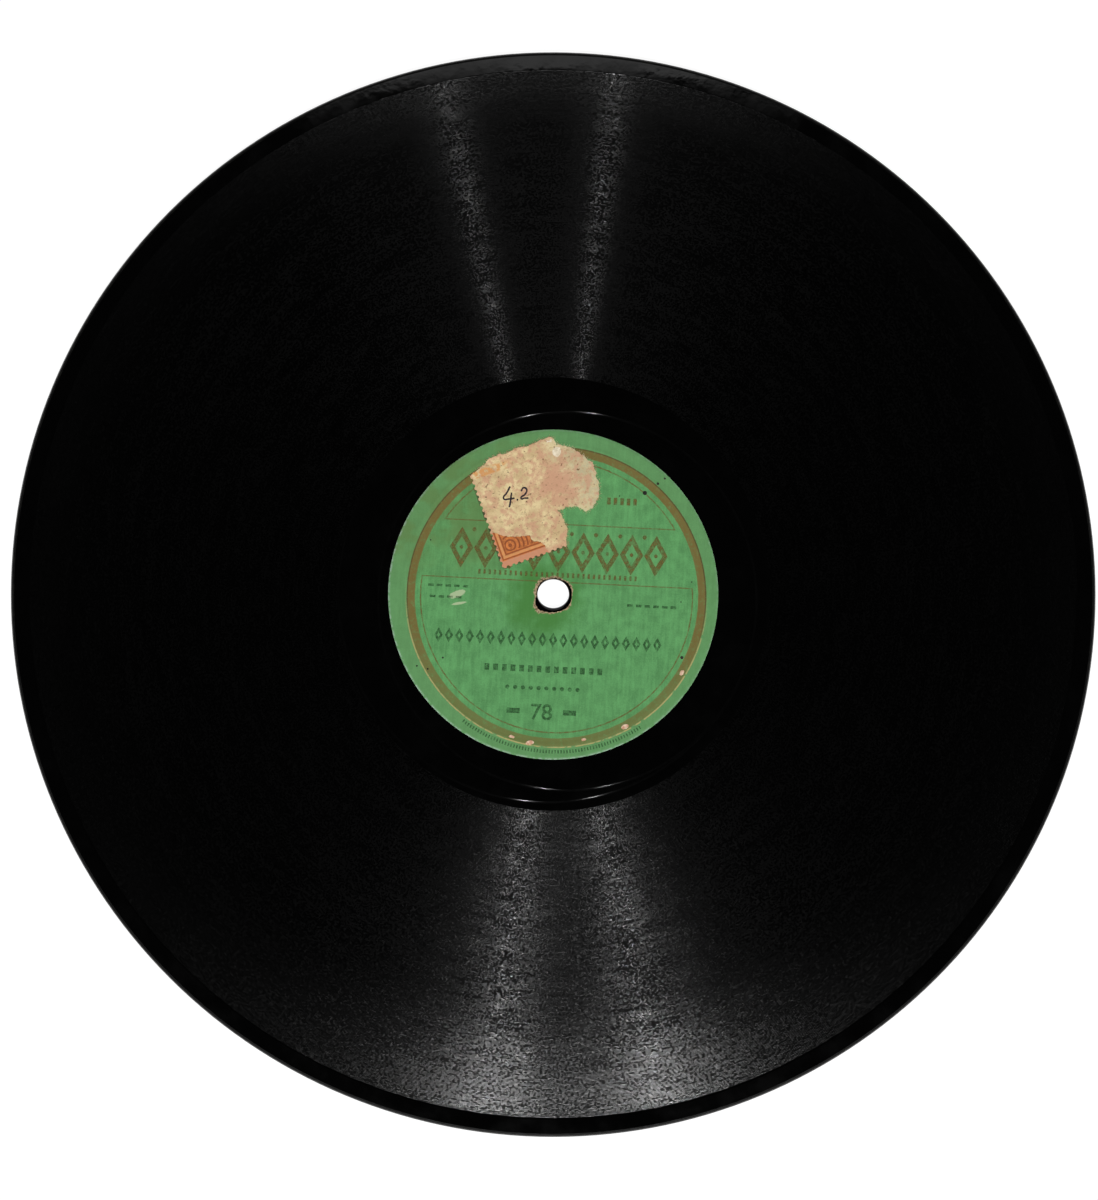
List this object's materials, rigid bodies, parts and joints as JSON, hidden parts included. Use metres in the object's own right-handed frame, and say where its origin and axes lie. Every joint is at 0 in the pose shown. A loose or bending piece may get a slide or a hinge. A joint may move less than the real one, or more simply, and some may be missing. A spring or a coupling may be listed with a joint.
{
  "type": "shellac record",
  "caption": "Laminated gramophone disc with a grooved face on each side, a smooth rim, paper labels pressed into the faces and a central spindle hole.",
  "frame": {"origin": "on the spindle axis, in the plane of the back face that the disc lies on", "axes": "+Z along the spindle axis, out of the front label; +Y towards the top of the front label's print; +X to its right"},
  "size_m": [0.25, 0.25, 0.0023],
  "materials": {
    "shellac_core": "coarse mineral-filled shellac, dull at the edge",
    "ply_paper": "soaked brown paper",
    "shellac_face": "glossy black shellac with fine grooves",
    "label_paper": "worn green printed paper",
    "stamp_paper": "torn cream paper",
    "stamp_print": "orange printed paper"
  },
  "bodies": {
    "root": {"core": "shellac_core", "front_paper": "ply_paper", "back_paper": "ply_paper", "front_face": "shellac_face", "back_face": "shellac_face", "front_label": "label_paper", "back_label": "label_paper", "stamp_backing": "stamp_paper", "stamp_print": "stamp_print", "stamp_flakes": "stamp_paper"}
  },
  "joints": []
}
